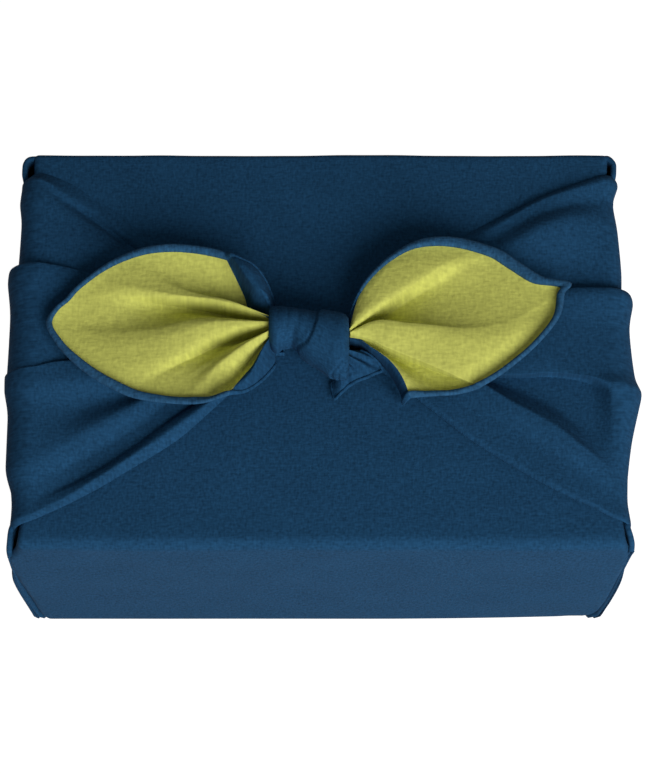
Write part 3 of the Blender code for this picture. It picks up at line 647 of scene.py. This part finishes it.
def make_fan(name, side, root, root_width, table, hem, cloth):
    """A fan of cloth, its inside, outside and edge, from its root, with its rim turned over. The edge
    material is a painted highlight: a lighter blue on the hem turned over the green.
    """
    inside, outside, edge = cloth
    index = range(len(table))
    rays = spread(index, [EAR_STEPS_ACROSS] * (len(table) - 1))
    angle_near, angle_early, angle_mid, angle_rim = ease(index, [row[0] for row in table], rays).T
    reach = ease(index, [row[1] for row in table], rays)
    levels = ease(index, [row[2] for row in table], rays).T
    hem_width = ease(index, [row[3] for row in table], rays)
    side_shown = np.repeat([row[4] for row in table[:-1]], EAR_STEPS_ACROSS)
    shares = np.linspace(EAR_START, 1.0, EAR_STEPS_ALONG)
    heights = ease(EAR_MARKS, np.vstack([levels[:1], levels]), shares)
    bends = np.stack([angle_near, angle_near, angle_early, angle_mid, angle_rim])
    angles = np.radians(ease(EAR_BEND_MARKS, bends, shares))
    rows = [(reach * share, height, angle) for share, height, angle in zip(shares, heights, angles)]
    last_reach, last_height, last_angle = rows[-1]
    roll = hem / 2 * np.clip(hem_width, HEM_ROLL_LEAST, 1.0)
    for k in range(1, HEM_STEPS + 1):
        turn = math.pi * k / HEM_STEPS
        inward = hem_width * max(0.0, (k / HEM_STEPS - HEM_TURN) / (1 - HEM_TURN))
        out = last_reach + roll * math.sin(turn) - inward
        under = [np.interp(o / r, shares, heights[:, j]) for j, (o, r) in enumerate(zip(out, reach))]
        rows.append((out, np.array(under) + roll * (1 - math.cos(turn)), last_angle))
    for inward, share, up in HEM_CLOSING:
        rows.append((out - inward, np.array(under) + roll * share + up, last_angle))
    grid = np.zeros((len(rows), len(rays), 3))
    for i, (out, height, angle) in enumerate(rows):
        x = side * np.cos(angle) * out
        y = np.sin(angle) * (out + root_width * np.clip(1 - out / reach, 0.0, 1.0) ** 3)
        uneven = EAR_DENT_HEIGHT * ripple(x, y, EAR_DENT_SIZE) * np.clip(out / EAR_DENT_FULL_AT, 0.0, 1.0)
        grid[i] = np.stack([root[0] + x, root[1] + y, HEIGHT / MM + height + uneven], axis=-1)
    shown = np.broadcast_to(side_shown, (len(rows) - 1, len(rays) - 1)).copy()
    # Hem rows over the green take the lighter blue, a painted highlight. Hem rows over the blue keep the
    # plain outside.
    shown[EAR_STEPS_ALONG - 1:, :] = np.where(side_shown == GREEN, PAINTED_HIGHLIGHT_HEM, BLUE)
    materials = [inside, outside, outside, edge]
    return sheet_piece(name, grid, grid[:, :, :2].copy(), materials, shown, flip=side < 0)


def make_knot(blue):
    """The band of the knot: its cross-sections from left to right, with creases across it."""
    sections = np.array(KNOT_SECTIONS, float)
    index = range(len(sections))
    along = spread(index, [KNOT_STEPS_ALONG] * (len(sections) - 1))
    x, back, front, top = ease(index, sections, along).T
    turns = np.radians(np.linspace(0, 360, KNOT_STEPS_ROUND + 1))
    c = np.cos(turns)
    s = np.sin(turns)
    grid = np.zeros((len(along), len(turns), 3))
    weave = np.zeros((len(along), len(turns), 2))
    for i in range(len(along)):
        half_y = (back[i] - front[i]) / 2
        half_z = (top[i] - KNOT_FOOT) / 2
        y = back[i] - half_y - half_y * np.sign(c) * np.abs(c) ** (2 / KNOT_SQUARENESS)
        z = KNOT_FOOT + half_z + half_z * np.sign(s) * np.abs(s) ** (2 / KNOT_SQUARENESS)
        place = np.full_like(y, x[i])
        push = KNOT_DENT_HEIGHT * ripple(place * KNOT_DENT_ALONG, turns * KNOT_DENT_ROUND, KNOT_DENT_SIZE)
        share = np.clip((back[i] - y) / (back[i] - front[i]), 0, 1)
        for places, depth, width, step in KNOT_CREASES:
            line = ease(KNOT_CREASE_MARKS, places, share)
            away = (x[i] - line) / width
            push = push - depth * np.exp(-away * away)
            rise = step / 2 * np.tanh(away * KNOT_STEP_SHARPNESS)
            push = push + rise * np.exp(-(away / KNOT_STEP_REACH) ** 2)
        z = z + KNOT_LEAN * (y - front[i]) / (back[i] - front[i]) * np.clip(s, 0.0, 1.0)
        y = y - push * c
        z = z + push * s
        grid[i] = np.stack([place, y, HEIGHT / MM + z], axis=-1)
        weave[i] = np.stack([place, turns * KNOT_RADIUS], axis=-1)
    return sheet_piece("knot", grid, weave, [blue], flip=True)


def add_node(tree, kind, **values):
    """A new node of a kind, with its own settings."""
    node = tree.nodes.new(kind)
    for key, value in values.items():
        setattr(node, key, value)
    return node


def crepe_material(name, colour, grain, contrast, relief, sheen, roughness):
    """A crepe weave: short threads both ways with a pebbly grain, and a faint cloudiness."""
    material = bpy.data.materials.new(name)
    material.use_nodes = True
    tree = material.node_tree
    shader = tree.nodes["Principled BSDF"]
    shader.inputs["Roughness"].default_value = roughness
    shader.inputs["Specular IOR Level"].default_value = SHINE
    shader.inputs["Sheen Weight"].default_value = sheen
    shader.inputs["Sheen Roughness"].default_value = SHEEN_ROUGHNESS
    place = add_node(tree, "ShaderNodeTexCoord")
    threads = []
    for stretch in ((1.0, THREAD_STRETCH, 1.0), (THREAD_STRETCH, 1.0, 1.0)):
        mapping = add_node(tree, "ShaderNodeMapping")
        mapping.inputs["Scale"].default_value = stretch
        tree.links.new(place.outputs["UV"], mapping.inputs["Vector"])
        noise = add_node(tree, "ShaderNodeTexNoise")
        noise.inputs["Scale"].default_value = grain
        noise.inputs["Detail"].default_value = 1.5
        tree.links.new(mapping.outputs["Vector"], noise.inputs["Vector"])
        threads.append(noise)
    weave = add_node(tree, "ShaderNodeMath", operation="ADD")
    tree.links.new(threads[0].outputs["Fac"], weave.inputs[0])
    tree.links.new(threads[1].outputs["Fac"], weave.inputs[1])
    cloud = add_node(tree, "ShaderNodeTexNoise")
    cloud.inputs["Scale"].default_value = CLOUD_GRAIN
    cloud.inputs["Detail"].default_value = 3.0
    tree.links.new(place.outputs["UV"], cloud.inputs["Vector"])
    both = add_node(tree, "ShaderNodeMath", operation="MULTIPLY_ADD")
    both.inputs[1].default_value = CLOUD_SHARE
    tree.links.new(cloud.outputs["Fac"], both.inputs[0])
    tree.links.new(weave.outputs["Value"], both.inputs[2])
    ramp = add_node(tree, "ShaderNodeMapRange")
    ramp.inputs["From Min"].default_value = WEAVE_LOW
    ramp.inputs["From Max"].default_value = WEAVE_HIGH
    tree.links.new(both.outputs["Value"], ramp.inputs["Value"])
    mix = add_node(tree, "ShaderNodeMix", data_type="RGBA")
    mix.inputs["A"].default_value = (*[c * (1 - contrast) for c in colour], 1.0)
    mix.inputs["B"].default_value = (*[min(1.0, c * (1 + contrast)) for c in colour], 1.0)
    tree.links.new(ramp.outputs["Result"], mix.inputs["Factor"])
    tree.links.new(mix.outputs["Result"], shader.inputs["Base Color"])
    bump = add_node(tree, "ShaderNodeBump")
    bump.inputs["Strength"].default_value = relief
    bump.inputs["Distance"].default_value = THREAD_HEIGHT
    tree.links.new(weave.outputs["Value"], bump.inputs["Height"])
    tree.links.new(bump.outputs["Normal"], shader.inputs["Normal"])
    return material


def make_camera():
    """The camera at the photograph's viewing angle."""
    data = bpy.data.cameras.new("camera")
    data.lens = CAMERA_LENS
    camera = bpy.data.objects.new("camera", data)
    bpy.context.scene.collection.objects.link(camera)
    back = Vector((0, -math.cos(CAMERA_ELEVATION), math.sin(CAMERA_ELEVATION)))
    camera.location = Vector(CAMERA_TARGET) + back * CAMERA_DISTANCE
    camera.rotation_euler = (math.pi / 2 - CAMERA_ELEVATION, 0, 0)
    bpy.context.scene.camera = camera


def make_light(name, azimuth, elevation, distance, size, power):
    """A soft light at an azimuth to the right of the front, aimed at the wrap."""
    data = bpy.data.lights.new(name, "AREA")
    data.shape = "DISK"
    data.size = size
    data.energy = power
    light = bpy.data.objects.new(name, data)
    bpy.context.scene.collection.objects.link(light)
    turn = math.radians(azimuth)
    rise = math.radians(elevation)
    way = Vector((math.sin(turn) * math.cos(rise), -math.cos(turn) * math.cos(rise), math.sin(rise)))
    light.location = Vector((0, 0, HEIGHT)) + way * distance
    light.rotation_euler = way.to_track_quat("Z", "Y").to_euler()


def make_studio():
    """Even light from all round, a soft key light from the front right, and a pale floor."""
    world = bpy.data.worlds.new("studio")
    bpy.context.scene.world = world
    world.use_nodes = True
    background = world.node_tree.nodes["Background"]
    background.inputs["Color"].default_value = (1.0, 1.0, 1.0, 1.0)
    background.inputs["Strength"].default_value = EVEN_LIGHT
    make_light("key", **KEY_LIGHT)
    bpy.ops.mesh.primitive_plane_add(size=FLOOR_SIZE, location=(0, 0, -FLOOR_DROP))
    floor = bpy.context.object
    floor.name = "floor"
    material = bpy.data.materials.new("floor_paper")
    material.use_nodes = True
    shader = material.node_tree.nodes["Principled BSDF"]
    shader.inputs["Base Color"].default_value = (FLOOR_GREY, FLOOR_GREY, FLOOR_GREY, 1.0)
    shader.inputs["Roughness"].default_value = 1.0
    shader.inputs["Specular IOR Level"].default_value = 0.0
    shader.inputs["Emission Color"].default_value = (1.0, 1.0, 1.0, 1.0)
    shader.inputs["Emission Strength"].default_value = FLOOR_GLOW
    floor.data.materials.append(material)
    floor.visible_diffuse = False
    bpy.context.scene.view_settings.view_transform = "Standard"


def finish_piece(piece):
    """The piece rides on the part's body and shows in place of its solid."""
    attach(piece, BODY)
    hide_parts(NODE)


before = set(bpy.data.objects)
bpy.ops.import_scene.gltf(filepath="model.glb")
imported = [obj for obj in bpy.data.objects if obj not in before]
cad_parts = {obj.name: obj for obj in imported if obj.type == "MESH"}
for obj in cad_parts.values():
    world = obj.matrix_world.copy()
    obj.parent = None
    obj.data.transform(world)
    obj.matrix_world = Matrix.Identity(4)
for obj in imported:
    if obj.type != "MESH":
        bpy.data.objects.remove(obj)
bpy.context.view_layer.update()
make_camera()
blue_crepe = crepe_material("blue_crepe", *WEAVES["blue_crepe"])
blue_hem_painted_highlight = crepe_material("blue_hem_painted_highlight", *WEAVES["blue_hem_painted_highlight"])
green_crepe = crepe_material("green_crepe", *WEAVES["green_crepe"])
wrap = make_wrap(blue_crepe)
end_left = make_end_layer("end_left", LEFT_END, blue_crepe)
end_right = make_end_layer("end_right", RIGHT_END, blue_crepe)
arm_left = make_arm("arm_left", -1, LEFT_ARM, LEFT_HEIGHT_REACH, LEFT_ARM_START, blue_crepe)
arm_right = make_arm("arm_right", 1, RIGHT_ARM, RIGHT_HEIGHT_REACH, RIGHT_ARM_START, blue_crepe)
knot = make_knot(blue_crepe)
# The fans' third material is the lighter blue, a painted highlight on the rolled hem.
tail_cloth = (blue_crepe, blue_crepe, blue_hem_painted_highlight)
ear_cloth = (green_crepe, blue_crepe, blue_hem_painted_highlight)
tail = make_fan("tail", 1, TAIL_ROOT, TAIL_ROOT_WIDTH, TAIL, TAIL_HEM, tail_cloth)
ear_left = make_fan("ear_left", -1, LEFT_EAR_ROOT, LEFT_ROOT_WIDTH, LEFT_EAR, EAR_HEM, ear_cloth)
ear_right = make_fan("ear_right", 1, RIGHT_EAR_ROOT, RIGHT_ROOT_WIDTH, RIGHT_EAR, EAR_HEM, ear_cloth)
for piece in (wrap, end_left, end_right, arm_left, arm_right, knot, tail):
    finish_piece(piece)
for piece in (ear_left, ear_right):
    finish_piece(piece)
make_studio()
